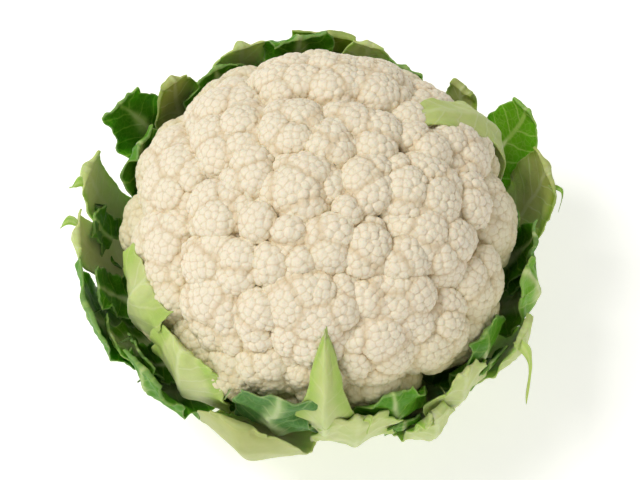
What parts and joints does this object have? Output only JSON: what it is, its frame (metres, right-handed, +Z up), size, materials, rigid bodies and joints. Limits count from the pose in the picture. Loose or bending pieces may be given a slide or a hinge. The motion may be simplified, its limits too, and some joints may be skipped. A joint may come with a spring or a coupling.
{
  "type": "cauliflower",
  "caption": "Trimmed head of cauliflower: a cream curd of tight florets in a collar of cut green leaves, standing on its flat cut stalk.",
  "frame": {"origin": "centre of the flat cut across the stalk, on which the head stands", "axes": "+Z up along the stalk towards the crown of the curd; -Y is the side with the upright inner leaf"},
  "size_m": [0.2138, 0.1986, 0.1404],
  "materials": {
    "curd": "matt, finely beaded, slightly translucent",
    "stalk": "cut flesh, moist and smooth",
    "leaf_pale": "smooth and waxy, with fine ribs",
    "leaf_olive": "smooth and waxy, with fine ribs",
    "leaf_bright": "satin leaf with pale veins",
    "leaf_dark": "satin leaf with pale veins",
    "leaf_bluish": "satin leaf with a waxy bloom"
  },
  "bodies": {
    "root": {"stalk": "stalk", "floret_crown": "curd", "floret_crown_back_left": "curd", "floret_crown_back_right": "curd", "floret_crown_right": "curd", "floret_crown_front": "curd", "floret_crown_front_left": "curd", "floret_crown_left": "curd", "floret_back": "curd", "floret_back_right": "curd", "floret_back_left": "curd", "floret_left": "curd", "floret_front_left": "curd", "floret_front_right": "curd", "floret_right": "curd", "floret_right_back": "curd", "floret_right_rim": "curd", "floret_right_front_rim": "curd", "floret_right_front": "curd", "floret_front": "curd", "floret_front_low": "curd", "floret_front_left_small": "curd", "floret_left_front": "curd", "floret_left_front_low": "curd", "floret_left_back": "curd", "floret_left_rim": "curd", "floret_rim_back": "curd", "floret_rim_back_left": "curd", "floret_rim_left": "curd", "floret_rim_front": "curd", "leaf_back_crumpled": "leaf_dark", "leaf_back_ribbed": "leaf_olive", "leaf_back_rounded": "leaf_pale", "leaf_back_low": "leaf_dark", "leaf_back_olive": "leaf_olive", "leaf_over_curd": "leaf_pale", "leaf_right_flat": "leaf_bright", "leaf_right_olive": "leaf_olive", "leaf_right_pointed": "leaf_dark", "leaf_right_toothed": "leaf_bright", "leaf_right_low": "leaf_pale", "leaf_front_right_blade": "leaf_dark", "leaf_front_right_wavy": "leaf_pale", "leaf_front_right_stub": "leaf_pale", "leaf_front_cups": "leaf_dark", "leaf_front_upright": "leaf_pale", "leaf_front_stub": "leaf_pale", "leaf_front_folded": "leaf_bluish", "leaf_front_outer": "leaf_olive", "leaf_left_winged": "leaf_pale", "leaf_left_dark": "leaf_dark", "leaf_left_cup": "leaf_pale", "leaf_left_square": "leaf_dark", "leaf_left_yellow": "leaf_pale", "leaf_left_stub": "leaf_pale", "leaf_left_folded": "leaf_dark", "leaf_back_left_blade": "leaf_dark", "leaf_back_left_hollow": "leaf_olive", "leaf_back_left_wavy": "leaf_dark", "leaf_back_left_arched": "leaf_pale"}
  },
  "joints": []
}
